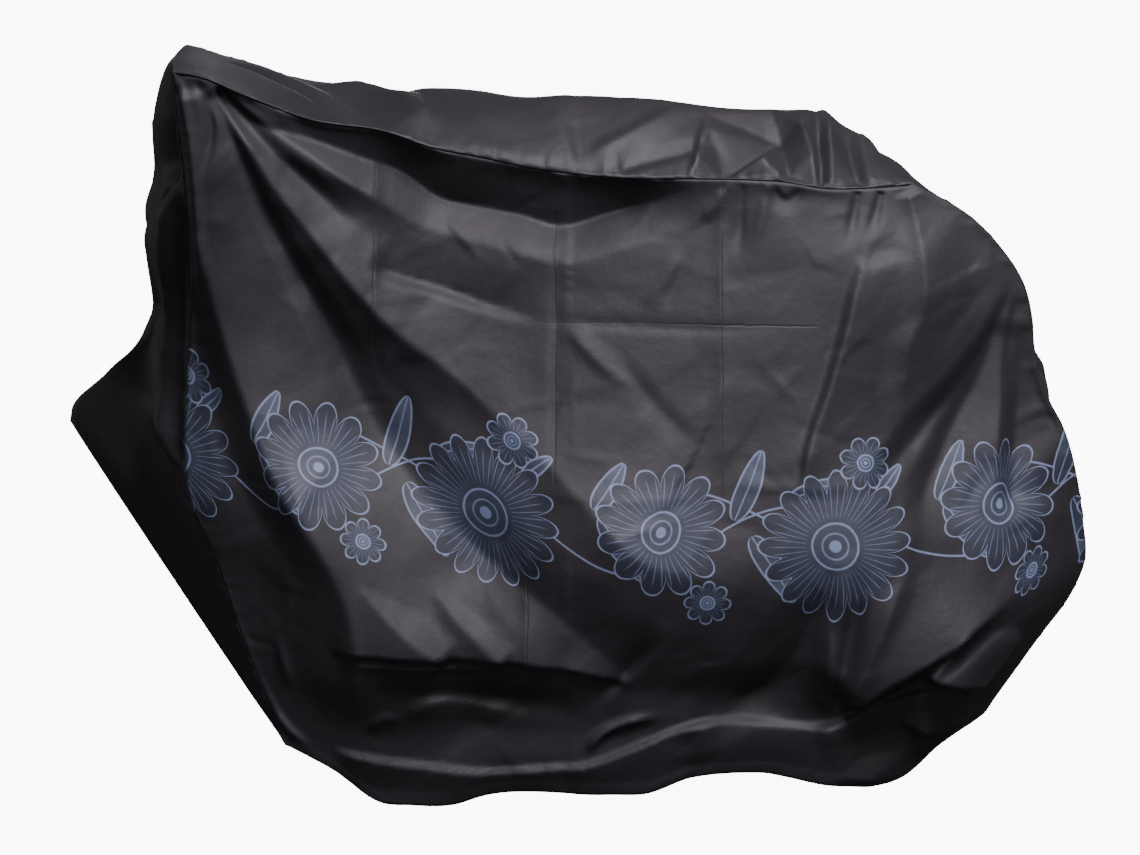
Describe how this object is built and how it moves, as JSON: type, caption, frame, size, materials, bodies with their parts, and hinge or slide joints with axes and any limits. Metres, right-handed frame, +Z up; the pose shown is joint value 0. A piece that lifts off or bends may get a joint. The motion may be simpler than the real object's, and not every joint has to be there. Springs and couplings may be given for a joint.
{
  "type": "bicycle cover",
  "caption": "Fitted dust and rain cover for a bicycle: two side panels sewn to a long gusset strip, hollow and open below, with its front flap lifted.",
  "frame": {"origin": "the point under the top, on the middle plane, where the cover is held up; 0.985 m above the lowest point of the hem", "axes": "+X along the cover from its front to its rear, +Y from the near panel to the far panel, +Z up"},
  "size_m": [1.5438, 0.7954, 1.0593],
  "materials": {
    "panel_cloth": "black plastic-coated cloth, half gloss, with a pale blue-grey printed band",
    "gusset_cloth": "black plastic-coated cloth, half gloss, plain"
  },
  "bodies": {
    "root": {"side_panel_near": "panel_cloth", "side_panel_far": "panel_cloth", "gusset": "gusset_cloth"}
  },
  "joints": []
}
